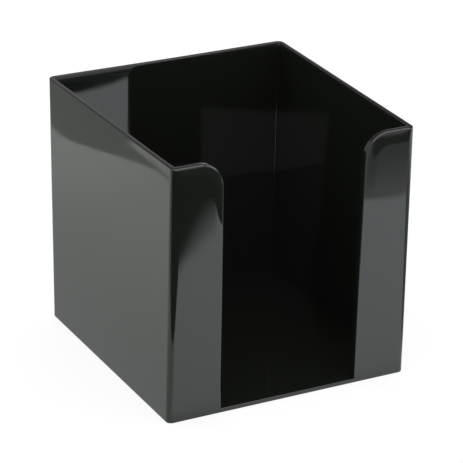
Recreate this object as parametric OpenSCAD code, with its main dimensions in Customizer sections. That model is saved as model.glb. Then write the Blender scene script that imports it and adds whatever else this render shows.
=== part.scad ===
// Note box: a box moulded in one piece, open at the top and cut away in the middle of its
// front, so that a block of loose note paper stands in it and a sheet is easily drawn out.
// The origin is the middle of the underside, +Z points up, and the front faces -Y.

/* [Body] */
// Width across the rim, from side to side
body_width = 100; // [87:0.5:160]
// Depth across the rim, from front to back
body_depth = 103.4; // [60:0.2:160]
// Height from the table to the rim
body_height = 98.5; // [40:0.5:200]

/* [Walls] */
// Thickness of the four walls
wall = 2; // [1.2:0.1:3.5]
// Thickness of the floor
floor_thickness = 1.7; // [1:0.1:5]
// How much further out each wall stands at the rim than at the foot
draft = 0.9; // [0.1:0.1:3]
// Radius of the upright corners inside the box, at the foot
inner_corner_radius = 0.1; // [0.1:0.1:4]
// Rounding of the outer edge at the foot and of both edges of the rim
edge_radius = 0.35; // [0.1:0.05:0.55]

/* [Front] */
// Width of the opening in the front wall
opening_width = 56; // [20:0.2:70]
// Radius at which the sides of the opening run out into the rim
opening_radius = 10.5; // [1:0.5:18]

/* [Hidden] */
$fn = 96;

// Radius of the upright outer corners, at the foot and at the rim
foot_radius = inner_corner_radius + wall;
rim_radius = foot_radius + draft;

// Distance of the upright corners' centres from the middle of the box
centre_x = body_width / 2 - rim_radius;
centre_y = body_depth / 2 - rim_radius;

// How far the cutter of the opening reaches past the faces that it cuts
overcut = 1;

// How far a wall stands out from its foot at height z
function lean(z) = draft * z / body_height;

// Section through a wall and the edge of the floor: x is the distance outwards from a
// corner's centre, and y is the height
module wall_section() {
    shoulder = body_height - edge_radius;
    foot_edge = foot_radius + lean(edge_radius) - edge_radius;
    outer_edge = foot_radius + lean(shoulder) - edge_radius;
    inner_edge = inner_corner_radius + lean(shoulder) + edge_radius;
    polygon([
        [0, 0],
        [foot_edge, 0],
        [foot_edge + edge_radius, edge_radius],
        [outer_edge + edge_radius, shoulder],
        [outer_edge, body_height],
        [inner_edge, body_height],
        [inner_edge - edge_radius, shoulder],
        [inner_corner_radius + lean(floor_thickness), floor_thickness],
        [0, floor_thickness]
    ]);
    translate([foot_edge, edge_radius]) circle(edge_radius);
    for (x = [inner_edge, outer_edge])
        translate([x, shoulder]) circle(edge_radius);
}

// The section carried round the box, as four straight runs and four quarter turns
module walls() {
    for (turn = [0 : 3]) {
        out = turn % 2 == 0 ? centre_x : centre_y;
        along = turn % 2 == 0 ? centre_y : centre_x;
        rotate(90 * turn)
            translate([out, along, 0]) {
                rotate([90, 0, 0])
                    linear_extrude(2 * along)
                        wall_section();
                rotate_extrude(angle = 90)
                    wall_section();
            }
    }
}

// The floor between the corners' centres
module floor_plate() {
    translate([-centre_x, -centre_y, 0])
        cube([2 * centre_x, 2 * centre_y, floor_thickness]);
}

// Outline of the opening, seen from the front: straight sides that curve out at the rim
module opening_outline() {
    curve_x = opening_width / 2 + opening_radius;
    curve_z = body_height - opening_radius;
    translate([-opening_width / 2, floor_thickness])
        square([opening_width, body_height + overcut - floor_thickness]);
    difference() {
        translate([-curve_x, curve_z])
            square([2 * curve_x, opening_radius + overcut]);
        for (side = [-1, 1])
            translate([side * curve_x, curve_z]) circle(opening_radius);
    }
}

// The opening cut through the front wall, from the floor up through the rim
module opening() {
    rotate([90, 0, 0])
        linear_extrude(body_depth / 2 + overcut)
            opening_outline();
}

module note_box() {
    color("#141514")
        difference() {
            union() {
                walls();
                floor_plate();
            }
            opening();
        }
}

note_box();
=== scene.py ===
"""Note box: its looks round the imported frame. The scene is in metres, with +Z up and the front
towards -Y. The box itself is laid out in millimetres and scaled to metres as its mesh is made."""

import math

import bmesh
import bpy
import numpy as np
from mathutils import Matrix, Vector


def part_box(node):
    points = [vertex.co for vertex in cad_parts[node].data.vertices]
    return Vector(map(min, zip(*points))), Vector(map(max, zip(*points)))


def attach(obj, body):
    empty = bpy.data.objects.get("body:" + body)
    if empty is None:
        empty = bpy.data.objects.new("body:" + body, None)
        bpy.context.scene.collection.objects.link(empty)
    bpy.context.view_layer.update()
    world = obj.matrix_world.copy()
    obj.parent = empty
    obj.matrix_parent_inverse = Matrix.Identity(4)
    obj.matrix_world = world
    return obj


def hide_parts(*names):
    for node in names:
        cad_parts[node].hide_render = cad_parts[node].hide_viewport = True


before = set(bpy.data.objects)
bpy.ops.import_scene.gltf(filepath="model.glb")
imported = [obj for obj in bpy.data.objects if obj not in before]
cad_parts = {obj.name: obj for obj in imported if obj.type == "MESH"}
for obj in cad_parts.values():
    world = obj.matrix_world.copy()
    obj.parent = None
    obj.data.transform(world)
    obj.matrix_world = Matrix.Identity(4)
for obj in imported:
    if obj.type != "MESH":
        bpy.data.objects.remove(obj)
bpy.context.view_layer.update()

# Note box. One injection moulding in black polystyrene with the mould's high polish: a floor,
# three whole walls and two strips of front wall. The walls lean out a little towards the rim,
# and the front corners, which no wall joins above the floor, have drawn in as it cooled.
MM = 0.001
box_high = np.array(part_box("note_box")[1]) / MM
height = box_high[2]
wall = 2.0
floor_top = 1.65
draft = 0.9
inner_corner = 0.1
outer_corner = inner_corner + wall
centre_x = box_high[0] - outer_corner - draft
centre_y = box_high[1] - outer_corner - draft
opening_half = 27.75
opening_radius = 10.3
# The walls' edges are rounded by edge, but by strip_edge along the strips' rim and by
# side_edges up the left and right sides of the opening, from side_growth above the sill.
edge = 0.35
strip_edge = 0.75
side_edges = (0.85, 0.35)
side_growth = 12.0
# Steps of the mesh round a rounding, a corner and the opening's curve, up a wall, and along a
# strip, the sill and a side wall. Points within weld_distance are joined, and faces that meet
# at less than smooth_angle are shaded as one.
fillet_steps = 8
corner_steps = 12
arc_steps = 20
row_steps = 42
strip_columns, sill_columns, side_columns = 9, 26, 44
weld_distance = 0.004
smooth_angle = 40.0


def lean(z):
    """How far a wall has moved outwards at height z: the draft, in proportion to the height."""
    return draft * z / height


def strip_share(x):
    """How far along a strip a place is: 0 at the side of the opening and 1 at the corner."""
    return np.clip((np.abs(x) - opening_half) / (centre_x - opening_half), 0, 1)


def spaced(start, end, count, support=0.4):
    """Values from start to end, evenly spaced, with one more close to each end, so that the
    rounding beside a flat face doesn't bend the face's shading."""
    inner = np.linspace(0, 1, count)[1:-1] * (end - start) + start
    side = math.copysign(support, end - start)
    return np.concatenate([[start, start + side], inner, [end - side, end]])


def stood(points, outwards, distance, z):
    """Points of a wall: a column's centre, moved out by a distance and the wall's lean. Half
    of the lean widens an upright corner, and half carries the whole corner outwards."""
    distance, z = np.broadcast_arrays(distance, z)
    beyond = np.sign(points[..., 0]) * strip_share(points[..., 0])
    leaning = np.stack([beyond, np.clip(points[..., 1] / centre_y, -1, 1)], axis=-1)
    half = lean(z)[..., None] / 2
    across = points + outwards * (distance[..., None] + half) + leaning * half
    return np.concatenate([across, z[..., None] + 0 * across[..., :1]], axis=-1)


def closed_mesh(name, grids, polygons):
    """One closed mesh from grids of points and single polygons, joined where they meet."""
    points, faces, count = [], [], 0
    for grid in grids:
        rows, columns = grid.shape[:2]
        index = count + np.arange(rows * columns).reshape(rows, columns)
        quads = np.stack([index[:-1, :-1], index[:-1, 1:], index[1:, 1:], index[1:, :-1]], -1)
        faces += quads.reshape(-1, 4).tolist()
        points.append(grid.reshape(-1, 3))
        count += rows * columns
    for polygon in polygons:
        faces.append(list(range(count, count + len(polygon))))
        points.append(polygon)
        count += len(polygon)
    mesh = bpy.data.meshes.new(name)
    mesh.from_pydata(np.concatenate(points) * MM, [], faces)
    work = bmesh.new()
    work.from_mesh(mesh)
    bmesh.ops.remove_doubles(work, verts=work.verts, dist=weld_distance * MM)
    bmesh.ops.recalc_face_normals(work, faces=work.faces)
    open_edges = [e for e in work.edges if len(e.link_faces) != 2]
    print(f"{name}: {len(work.verts)} points, {len(work.faces)} faces, {len(open_edges)} open edges")
    work.to_mesh(mesh)
    work.free()
    mesh.shade_smooth()
    mesh.set_sharp_from_angle(angle=math.radians(smooth_angle))
    piece = bpy.data.objects.new(name, mesh)
    bpy.context.scene.collection.objects.link(piece)
    return piece


# Seen from above, the walls follow a rectangle through the centres of the upright corners.
# Each column is a point there and the direction out of the box, from the left side of the
# opening round the back to its right side.
arc = np.linspace(0, math.pi / 2, arc_steps + 1)
strip_length = centre_x - opening_half
curve_x = edge + (opening_radius - edge) * (1 - np.cos(arc))
flat_x = spaced(opening_radius, strip_length, strip_columns)[1:]
strip_x = opening_half + np.concatenate([curve_x, flat_x])
sill_x = spaced(-opening_half, opening_half, sill_columns)[1:-1]
side_y = spaced(-centre_y, centre_y, side_columns)
across_x = np.concatenate([-strip_x[::-1], sill_x, strip_x])
runs = [
    (-strip_x, np.full_like(strip_x, -centre_y), -90.0),
    (np.full_like(side_y, -centre_x), side_y, -180.0),
    (across_x, np.full_like(across_x, centre_y), -270.0),
    (np.full_like(side_y, centre_x), side_y[::-1], -360.0),
    (strip_x[::-1], np.full_like(strip_x, -centre_y), -450.0),
]
columns, angles = [], []
for x, y, angle in runs:
    if columns:
        turn = np.linspace(angle + 90, angle, corner_steps + 1)[1:-1]
        columns.append(np.repeat([[x[0], y[0]]], len(turn), axis=0))
        angles.append(turn)
    columns.append(np.stack([x, y], axis=1))
    angles.append(np.full(len(x), angle))
columns = np.concatenate(columns)
angles = np.radians(np.concatenate(angles))
outwards = np.stack([np.cos(angles), np.sin(angles)], axis=1)

# Heights of the rows of a wall face beside the opening: close together just below its curve,
# and evenly spaced further down.
straight_top = height - opening_radius
below_curve = [7.6, 6.2, 5.0, 4.0, 3.2, 2.5, 1.9, 1.4, 1.0, 0.6, 0.3]
top_rows = straight_top - np.array(below_curve)
levels = np.concatenate([
    spaced(floor_top, top_rows[0], row_steps)[:-2], top_rows, [straight_top]
])


def eased(x):
    """A step from 0 to 1 with level ends, by 3 x squared less 2 x cubed."""
    x = np.clip(x, 0, 1)
    return x * x * (3 - 2 * x)


# The rounding of the walls' outer edge: up the two sides of the opening it grows from the
# sill's over side_growth, and along the strips' rim it is full and runs out round the front
# corners into that of the side walls.
grown = eased((levels - floor_top) / side_growth)
side_rounds = [edge + (side_edge - edge) * grown for side_edge in side_edges]
rim_round = edge + (strip_edge - edge) * eased(-outwards[:, 1])
quarter = np.linspace(0, math.pi / 2, fillet_steps + 1)
inset_in = edge * (1 - np.cos(quarter))
depth_in = wall - edge * (1 - np.sin(quarter))


def wall_face(sides, rim, start, distance):
    """A face of the walls, with the rounding of its edge in each row, at the left and at the
    right, and in each column: the rows of a column share out the height up to the outline."""
    top = height - rim
    arc_top = straight_top + (opening_radius - rim[0]) * np.sin(arc)
    top[: len(arc)] = arc_top
    top[-len(arc):] = arc_top[::-1]
    rows = np.concatenate([[start], levels[1:]])
    share = (rows - start) / (straight_top - start)
    z = start + share[:, None] * (top - start)
    points = np.tile(columns, (len(levels), 1, 1))
    left_x, right_x = (
        opening_half + opening_radius - (opening_radius - side[:, None]) * np.cos(arc)
        for side in sides
    )
    points[:, : len(arc), 0] = -left_x
    points[:, -len(arc):, 0] = right_x[:, ::-1]
    return stood(points, outwards, distance, z)


outer_face = wall_face(side_rounds, rim_round, floor_top - edge, outer_corner)
inner_face = wall_face([0 * levels + edge] * 2, 0 * rim_round + edge, floor_top, inner_corner)


def edge_band(sides, rim, mitred):
    """One rounding of the walls' edge, carried up the left side of the opening, round its curve,
    along the rim and down the right side. Each is given as (inset from the outline, depth
    under the outer face) of its rows, and a curve goes from the side's to the rim's in
    proportion to the square of a sine. A mitred rounding meets the sill's."""
    ends = []
    for inset, under in sides:
        side_z = np.tile(levels, (len(quarter), 1))
        if mitred:
            side_z[:, 0] -= inset[:, 0]
        across = (opening_radius - inset[:, -1:]) * np.cos(arc[1:])
        upwards = (opening_radius - rim[0][:, :1]) * np.sin(arc[1:])
        turned = np.sin(arc[1:]) ** 2
        curve = under[:, -1:] * (1 - turned) + rim[1][:, :1] * turned
        x = np.concatenate([inset, opening_radius - across], axis=1) + opening_half
        z = np.concatenate([side_z, straight_top + upwards], axis=1)
        depth = np.concatenate([under, curve], axis=1)
        centre = np.stack([-x, np.full_like(x, -centre_y)], axis=-1)
        ends.append(stood(centre, np.array([0.0, -1.0]), outer_corner - depth, z))
    left, right = ends[0], (ends[1] * [-1, 1, 1])[:, ::-1]
    middle = slice(len(arc), len(columns) - len(arc))
    distance = outer_corner - rim[1][:, middle]
    top = stood(columns[middle], outwards[middle], distance, height - rim[0][:, middle])
    return np.concatenate([left, top, right], axis=1)


def quarter_round(radius):
    """(inset, depth) of an outer rounding whose radius is given place by place."""
    return (1 - np.sin(quarter))[:, None] * radius, (1 - np.cos(quarter))[:, None] * radius


def inner_round(count):
    """(inset, depth) of the inner rounding, in so many places."""
    return np.tile(inset_in[:, None], (1, count)), np.tile(depth_in[:, None], (1, count))


outer_band = edge_band(
    [quarter_round(side) for side in side_rounds], quarter_round(rim_round), True
)
inner_band = edge_band([inner_round(len(levels))] * 2, inner_round(len(columns)), False)
band = np.concatenate([outer_band, inner_band])

# The sill between the strips, and the loop of columns right round the foot.
sill = np.stack([sill_x[::-1], np.full_like(sill_x, -centre_y)], axis=1)
sill_out = np.tile([0.0, -1.0], (len(sill), 1))
loop = np.concatenate([columns, sill, columns[:1]])
loop_out = np.concatenate([outwards, sill_out, outwards[:1]])

# The underside's margin, the rounding of the outer bottom edge, and the outer face up to where
# the sill's rounding starts.
foot_z = np.concatenate([[0.0], edge * (1 - np.cos(quarter)), [floor_top - edge]])
foot_d = np.concatenate([[0.0], outer_corner - edge * (1 - np.sin(quarter)), [outer_corner]])
foot_band = stood(loop, loop_out, foot_d[:, None], np.tile(foot_z[:, None], (1, len(loop))))


def level_face(across, z):
    """A level face between the centres of the upright corners."""
    x, y = np.meshgrid(across, side_y)
    return np.stack([x, y, np.full_like(x, z)], axis=-1)


underside = level_face(across_x, 0.0)
floor_face = level_face(across_x, floor_top)
inner_foot = np.concatenate([columns, np.full_like(columns[:, :1], floor_top)], axis=1)
ring = np.stack([inner_foot, inner_face[0]])
# The sill's top and the rounding of its front edge, mitred into the sides of the opening.
sill_inset, sill_depth = quarter_round(np.full(len(sill), edge))
sill_rows = stood(sill, sill_out, outer_corner - sill_depth, floor_top - sill_inset)
sill_edge = np.concatenate([outer_band[:, -1:], sill_rows, outer_band[:, :1]], axis=1)
sill_back = np.concatenate([sill, np.full_like(sill[:, :1], floor_top)], axis=1)
sill_top = np.stack([sill_back, sill_rows[-1]])


def strip_foot(end, sill_end):
    """The part of the floor's top that the rounded end of a strip stands in."""
    return np.concatenate([
        inner_foot[end][None],
        inner_band[:, end][::-1],
        outer_band[:, end][-1:],
        sill_rows[-1][sill_end][None],
        sill_back[sill_end][None],
    ])


# The strips are thicker than the other walls by strip_extra, on the inside. And as the moulding
# cooled, its front corners drew in at the rim, the free edges of the strips curled back, with
# a shallow hollow along the right one, and the back wall bowed in.
strip_extra = 0.85
toe_in = 1.4
left_flare, right_flare = 0.6, 0.2
left_curl, left_curl_width, left_curl_down = 0.2, 4.0, 22.0
right_curl, right_curl_width = 0.55, 5.0
hollow, hollow_width, hollow_down = 0.9, 6.0, 14.0
rim_curl, rim_curl_width = 0.3, 3.0
bow = 0.32
# Over how many mm these changes run out: between the left and right sides, across the middle;
# round the front corners, to an end past their centres; behind the strips; from the front
# along the side walls' rim; inside the side and back walls; and inside and below the bow.
left_to_right = 20.0
corner_past, corner_fade = 1.5, 2.5
strip_fade, side_start, wall_fade = 6.0, 8.0, 1.0
bow_fade, bow_foot = 6.0, 20.0


def cooled(points):
    """Points of the box as it came out of the mould and cooled, from where the mould had them."""
    x, y, z = np.moveaxis(points, -1, 0)
    right_side = eased(x / left_to_right + 0.5)
    forward = -y - centre_y - lean(z)
    sideways = np.abs(x) - centre_x - lean(z)
    behind = y - centre_y - lean(z)
    # In proportion to the height and to how far forward a point is, the side walls move in by
    # toe_in, and the sides of the opening move out by the flare.
    raised = z / height * (box_high[1] - y) / (2 * box_high[1])
    beyond = strip_share(x)
    flare = left_flare + (right_flare - left_flare) * right_side
    shift = raised * (flare * (1 - beyond) - toe_in * beyond)
    # The outer faces of the strips sink by the square of how near their free edge is: on the
    # left less and less down the side of the opening, and on the right along the rim only. As
    # the right one's curve turns down, by the fourth power of a sine, a shallow hollow takes
    # over, which ends at the edge and is at most 4/27 of the value of hollow deep.
    inside = np.maximum(opening_half + opening_radius - np.abs(x), 0)
    over = np.maximum(z - straight_top, 0)
    reach = np.maximum(np.hypot(inside, over), 1e-9)
    width = left_curl_width + (right_curl_width - left_curl_width) * right_side
    near = np.clip(1 - (opening_radius - reach) / width, 0, 1)
    left_sunk = left_curl * near ** 2 * eased(1 + (z - straight_top) / left_curl_down)
    turned = (over / reach) ** 4
    wide = np.clip(1 - (opening_radius - reach) / hollow_width, 0, 1)
    hollowed = hollow * wide ** 2 * (1 - wide) * eased(1 + (z - straight_top) / hollow_down)
    right_sunk = right_curl * near ** 2 * turned + hollowed * (1 - turned)
    into_wall = np.clip((forward - inner_corner) / wall, 0, 1)
    corner = np.clip((centre_x + corner_past - np.abs(x)) / corner_fade, 0, 1)
    sunk = (left_sunk + (right_sunk - left_sunk) * right_side) * into_wall * corner
    # The strips' inner faces move in by strip_extra, and what lies behind follows less and less.
    under = outer_corner - np.hypot(np.maximum(forward, 0), np.maximum(sideways, 0))
    thicker = np.clip(under / wall, 0, 1) * eased(1 + (forward - inner_corner) / strip_fade)
    # The inner faces of the back and side walls sink along their rim, towards the outside.
    outside = np.hypot(np.maximum(sideways, 0), np.maximum(behind, 0))
    below = np.clip(1 - (height - z) / rim_curl_width, 0, 1)
    bent = rim_curl * below ** 2 * np.clip(1 - 2 * (outside - inner_corner) / wall, 0, 1)
    x_bent = np.sign(x) * bent * eased(1 + sideways / wall_fade) * eased((y + centre_y) / side_start)
    # The back wall's middle moves in by bow.
    bowed = bow * np.clip(1 - (x / centre_x) ** 2, 0, 1) ** 2 * eased(1 + behind / bow_fade)
    y_bent = bent * eased(1 + behind / wall_fade) - bowed * eased(z / bow_foot)
    return np.stack([
        x + np.sign(x) * shift + x_bent, y + sunk + strip_extra * thicker + y_bent, z
    ], axis=-1)


patches = [
    outer_face, inner_face, band, foot_band, underside, floor_face, ring, sill_edge, sill_top
]
feet = [strip_foot(0, -1), strip_foot(-1, 0)]
shell = closed_mesh("note_box_shell", [cooled(p) for p in patches], [cooled(p) for p in feet])
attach(shell, "root")
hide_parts("note_box")


def gloss_black():
    """Black polystyrene with a mould-polished surface: a mirror of low strength over a body
    that gives back almost nothing. Its faces are very slightly wavy from shrinking, and faint
    flow marks and handling make the polish a little uneven."""
    material = bpy.data.materials.new("gloss_black")
    material.use_nodes = True
    nodes, links = material.node_tree.nodes, material.node_tree.links
    shader = nodes["Principled BSDF"]
    shader.inputs["Base Color"].default_value = (0.0088, 0.0103, 0.0083, 1)
    shader.inputs["IOR"].default_value = 1.59
    place = nodes.new("ShaderNodeTexCoord")
    stretched = nodes.new("ShaderNodeMapping")
    stretched.inputs["Scale"].default_value = (1.0, 1.0, 0.4)
    links.new(place.outputs["Object"], stretched.inputs["Vector"])
    marks = nodes.new("ShaderNodeTexNoise")
    marks.inputs["Scale"].default_value = 90.0
    marks.inputs["Detail"].default_value = 4.0
    links.new(stretched.outputs["Vector"], marks.inputs["Vector"])
    polish = nodes.new("ShaderNodeMapRange")
    for name, value in zip(("From Min", "From Max", "To Min", "To Max"), (0.3, 0.7, 0.02, 0.06)):
        polish.inputs[name].default_value = value
    links.new(marks.outputs["Fac"], polish.inputs["Value"])
    links.new(polish.outputs["Result"], shader.inputs["Roughness"])
    waves = nodes.new("ShaderNodeTexNoise")
    waves.inputs["Scale"].default_value = 60.0
    waves.inputs["Detail"].default_value = 2.0
    links.new(place.outputs["Object"], waves.inputs["Vector"])
    bump = nodes.new("ShaderNodeBump")
    bump.inputs["Strength"].default_value = 1.0
    bump.inputs["Distance"].default_value = 0.015 * MM
    links.new(waves.outputs["Fac"], bump.inputs["Height"])
    links.new(bump.outputs["Normal"], shader.inputs["Normal"])
    return material


shell.data.materials.append(gloss_black())

# Camera. Its place was fitted to the straight edges of the box in the photo, 463 pixels square.
photo_width = 463.0
focal_pixels = 2531.3
sensor_width = 36.0
azimuth, elevation, roll = (math.radians(angle) for angle in (-28.11, 23.55, 1.18))
aim_right, aim_up, distance = 2.72, 42.43, 968.2
back = np.array([
    math.sin(azimuth) * math.cos(elevation),
    -math.cos(azimuth) * math.cos(elevation),
    math.sin(elevation),
])
level = np.array([math.cos(azimuth), math.sin(azimuth), 0.0])
above = np.cross(back, level)
right = level * math.cos(roll) + above * math.sin(roll)
up = above * math.cos(roll) - level * math.sin(roll)
camera = bpy.data.objects.new("camera", bpy.data.cameras.new("camera"))
bpy.context.scene.collection.objects.link(camera)
bpy.context.scene.camera = camera
camera.data.sensor_width = sensor_width
camera.data.lens = focal_pixels * sensor_width / photo_width
standpoint = (right * aim_right + up * aim_up + back * distance) * MM
pointing = Matrix([[*row] for row in np.stack([right, up, back], axis=1)])
camera.matrix_world = Matrix.Translation(Vector(standpoint)) @ pointing.to_4x4()


def reckoned(tree, operation, *values):
    """The output of a Math node that works on sockets or numbers."""
    node = tree.nodes.new("ShaderNodeMath")
    node.operation = operation
    for socket, value in zip(node.inputs, values):
        if isinstance(value, (int, float)):
            socket.default_value = value
        else:
            tree.links.new(value, socket)
    return node.outputs["Value"]


def ramp(tree, value, start, end, low=0.0, high=1.0):
    """The output of a Map Range node that eases from low to high as a value goes from start to
    end. Each of the four is a number or a socket."""
    node = tree.nodes.new("ShaderNodeMapRange")
    node.interpolation_type = "SMOOTHSTEP"
    tree.links.new(value, node.inputs["Value"])
    limits = {"From Min": start, "From Max": end, "To Min": low, "To Max": high}
    for name, limit in limits.items():
        if isinstance(limit, (int, float)):
            node.inputs[name].default_value = limit
        else:
            tree.links.new(limit, node.inputs[name])
    return node.outputs["Result"]


def split(tree, vector):
    """The three parts of a vector socket."""
    node = tree.nodes.new("ShaderNodeSeparateXYZ")
    tree.links.new(vector, node.inputs["Vector"])
    return node.outputs["X"], node.outputs["Y"], node.outputs["Z"]


def for_rays(tree, kind, others, such):
    """The output of a Mix Shader node: one shader for a kind of ray, another for all others."""
    node = tree.nodes.new("ShaderNodeMixShader")
    for socket, output in zip(node.inputs, (kind, others, such)):
        tree.links.new(output, socket)
    return node.outputs["Shader"]


# Floor. The camera sees it as plain white with the box's shadow. Reflections see a glow of
# painted light instead: a white sheet, lit most at the front right, and darker past its edges.
bpy.ops.mesh.primitive_plane_add(size=4.0)
table = bpy.context.object
table.name = "table"
sheet_left = -0.157
round_centre = (-0.436, -0.826)


def painted_sheet_light(tree, x, y):
    """Painted light on the sheet and the table round it, by place in metres."""
    # At the box's left the painted light is dimmer close to the box, as painted shade, and a little
    # lighter far back. In front it gets brighter towards the right, and painted shade makes it a
    # little dimmer close to the box.
    left = ramp(tree, x, -0.16, -0.05, 0.97, 0.69)
    left = reckoned(tree, "ADD", left, ramp(tree, y, 0.13, 0.19, 0.0, 0.07))
    painted_front_shade = reckoned(tree, "EXPONENT", reckoned(tree, "MULTIPLY_ADD", y, 22.0, 1.14))
    painted_front_shade = reckoned(tree, "MULTIPLY_ADD", painted_front_shade, -0.13, 1.0)
    front = reckoned(tree, "MINIMUM", reckoned(tree, "MULTIPLY_ADD", x, 1.4, 1.38), 1.6)
    front = reckoned(tree, "MULTIPLY", front, painted_front_shade)
    beside = ramp(tree, x, -0.05, 0.0, left, 1.0)
    front = ramp(tree, x, -0.062, -0.042, 0.74, front)
    lit = ramp(tree, y, -0.062, -0.046, front, beside)
    # Painted shade of the box at its right, and past the sheet's front edge painted dark with a
    # lighter painted patch at the right, and painted light far off.
    shade = ramp(tree, x, 0.2, 0.3, 0.25, 1.0)
    shade = ramp(tree, reckoned(tree, "MULTIPLY_ADD", y, 0.534, x), 0.034, 0.05, 1.0, shade)
    lit = reckoned(tree, "MULTIPLY", lit, shade)
    patch = ramp(tree, y, -0.264, -0.247, 0.0, 0.26)
    patch = reckoned(tree, "ADD", patch, ramp(tree, y, -0.245, -0.185, 0.0, 0.45))
    patch = reckoned(tree, "MULTIPLY", patch, ramp(tree, x, 0.09, 0.125))
    dark = reckoned(tree, "ADD", patch, ramp(tree, x, 0.05, 0.1, 0.03, 0.1))
    dark = ramp(tree, y, -1.2, -0.4, 0.85, dark)
    edge_y = ramp(tree, x, 0.06, 0.1, -0.1903, -0.2013)
    edge_y = ramp(tree, x, 0.113, 0.126, edge_y, -0.1965)
    edge_y = ramp(tree, x, 0.052, 0.06, -0.3, edge_y)
    lit = ramp(tree, reckoned(tree, "SUBTRACT", y, edge_y), 0.0, 0.008, dark, lit)
    # A round edge at the left front, painted dark on the side towards round_centre, which is sharp
    # at its end and soft further on.
    across = reckoned(tree, "SUBTRACT", x, round_centre[0])
    along = reckoned(tree, "SUBTRACT", y, round_centre[1])
    across = reckoned(tree, "POWER", across, 2)
    along = reckoned(tree, "POWER", along, 2)
    radius = reckoned(tree, "SQRT", reckoned(tree, "ADD", across, along))
    inner = ramp(tree, x, -0.005, 0.055, 0.799, 0.775)
    outer = ramp(tree, x, -0.005, 0.02, 0.807, 0.800)
    lit = ramp(tree, radius, inner, outer, dark, lit)
    # A shadow across the left edge of the sheet, and the lit wall past it.
    edge_x = ramp(tree, y, 0.16, 0.222, sheet_left, sheet_left + 0.0245)
    past = reckoned(tree, "SUBTRACT", x, edge_x)
    shadow = ramp(tree, past, -0.002, 0.001, 0.45, lit)
    wall_light = ramp(tree, y, 0.195, 0.205, ramp(tree, y, 0.04, 0.12, 0.7, 1.0), 0.45)
    shadow = ramp(tree, x, -0.161, -0.158, wall_light, shadow)
    return ramp(tree, radius, inner, outer, lit, shadow)


def table_white():
    """White to the camera but for the box's shadow, and to reflections a glow of painted light, as
    bright as each place was lit, and dimmer from the second reflection on."""
    material = bpy.data.materials.new("table_white")
    material.use_nodes = True
    tree = material.node_tree
    nodes, links = tree.nodes, tree.links
    nodes.remove(nodes["Principled BSDF"])
    path = nodes.new("ShaderNodeLightPath")
    place = nodes.new("ShaderNodeTexCoord")
    x, y, _ = split(tree, place.outputs["Object"])
    # The glow of painted light that reflections see, a little cooler towards the right.
    painted_glow = nodes.new("ShaderNodeEmission")
    tint = nodes.new("ShaderNodeCombineColor")
    tint.inputs["Red"].default_value = 0.935
    links.new(ramp(tree, x, -0.1, 0.1, 0.985, 1.0), tint.inputs["Green"])
    links.new(ramp(tree, x, -0.1, 0.1, 0.94, 1.01), tint.inputs["Blue"])
    links.new(tint.outputs["Color"], painted_glow.inputs["Color"])
    second = ramp(tree, path.outputs["Glossy Depth"], 1.4, 1.6, 1.0, 0.45)
    light = reckoned(tree, "MULTIPLY", painted_sheet_light(tree, x, y), second)
    links.new(light, painted_glow.inputs["Strength"])
    matt = nodes.new("ShaderNodeBsdfDiffuse")
    matt.inputs["Color"].default_value = (0.8, 0.8, 0.8, 1)
    white = nodes.new("ShaderNodeEmission")
    white.inputs["Strength"].default_value = 0.85
    faint = nodes.new("ShaderNodeBsdfDiffuse")
    faint.inputs["Color"].default_value = (0.2, 0.2, 0.2, 1)
    shadowed = nodes.new("ShaderNodeAddShader")
    links.new(white.outputs["Emission"], shadowed.inputs[0])
    links.new(faint.outputs["BSDF"], shadowed.inputs[1])
    glossy, direct = path.outputs["Is Glossy Ray"], path.outputs["Is Camera Ray"]
    mirrored = for_rays(tree, glossy, matt.outputs["BSDF"], painted_glow.outputs["Emission"])
    seen = for_rays(tree, direct, mirrored, shadowed.outputs["Shader"])
    links.new(seen, nodes["Material Output"].inputs["Surface"])
    return material


table.data.materials.append(table_white())

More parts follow.
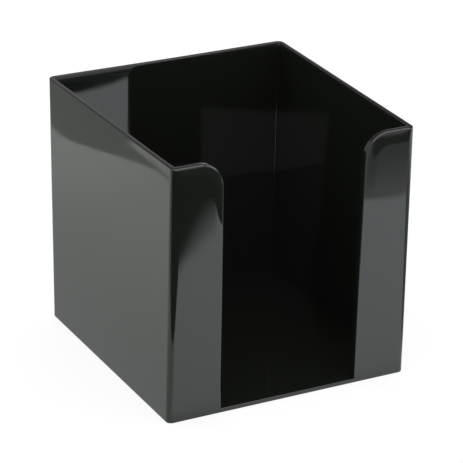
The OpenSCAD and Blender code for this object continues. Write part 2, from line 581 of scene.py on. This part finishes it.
# Light. A pale room, lightest low down in front, a wide soft box overhead and a smaller one
# at the right. The room's brightness goes by direction: x to the right, y to the back, z up.
world = bpy.data.worlds.new("room")
bpy.context.scene.world = world
world.use_nodes = True
tree = world.node_tree
nodes, links = tree.nodes, tree.links
place = nodes.new("ShaderNodeTexCoord")
x, y, z = split(tree, place.outputs["Generated"])
front_wall = ramp(tree, z, 0.1, 0.3, 0.7, 0.45)
front_wall = ramp(tree, z, 0.45, 0.55, front_wall, 1.1)
front_wall = ramp(tree, x, -0.35, -0.2, 1.0, front_wall)
right_wall = ramp(tree, z, 0.1, 0.5, 0.8, 0.3)
back_wall = ramp(tree, z, 0.375, 0.42, 0.42, 0.15)
back_wall = ramp(tree, x, -0.5, -0.3, 0.5, back_wall)
back_wall = ramp(tree, x, 0.40, 0.46, back_wall, ramp(tree, z, 0.25, 0.38, 0.7, 0.13))
walls_light = ramp(tree, y, -0.3, 0.3, front_wall, back_wall)
walls_light = ramp(tree, x, 0.75, 0.9, walls_light, right_wall)
# The even room light, the walls as the gloss mirrors them, and the white that the camera sees.
room = nodes["Background"]
room.inputs["Strength"].default_value = 1.0
walls = nodes.new("ShaderNodeBackground")
links.new(walls_light, walls.inputs["Strength"])
sky = nodes.new("ShaderNodeBackground")
for background in (room, walls, sky):
    background.inputs["Color"].default_value = (1, 1, 1, 1)
path = nodes.new("ShaderNodeLightPath")
glossy, direct = path.outputs["Is Glossy Ray"], path.outputs["Is Camera Ray"]
mirrored = for_rays(tree, glossy, room.outputs["Background"], walls.outputs["Background"])
seen = for_rays(tree, direct, mirrored, sky.outputs["Background"])
links.new(seen, nodes["World Output"].inputs["Surface"])


def soft_box(name, place, aim, size, brightness):
    """A soft box of plain brightness, seen in the gloss only: the room gives the even light."""
    lamp = bpy.data.objects.new(name, bpy.data.lights.new(name, "AREA"))
    lamp.data.shape = "RECTANGLE"
    lamp.data.size, lamp.data.size_y = size
    lamp.data.energy = brightness * math.pi * size[0] * size[1]
    lamp.location = place
    lamp.rotation_euler = (Vector(place) - Vector(aim)).to_track_quat("Z", "Y").to_euler()
    lamp.visible_diffuse = False
    bpy.context.scene.collection.objects.link(lamp)


soft_box("top_light", (0.0, -0.1, 0.9), (0.0, -0.1, 0.0), (1.1, 0.9), 1.25)
soft_box("right_light", (0.85, -0.2, 0.55), (0.0, 0.0, 0.09), (0.45, 0.55), 2.6)

bpy.context.scene.view_settings.view_transform = "Standard"
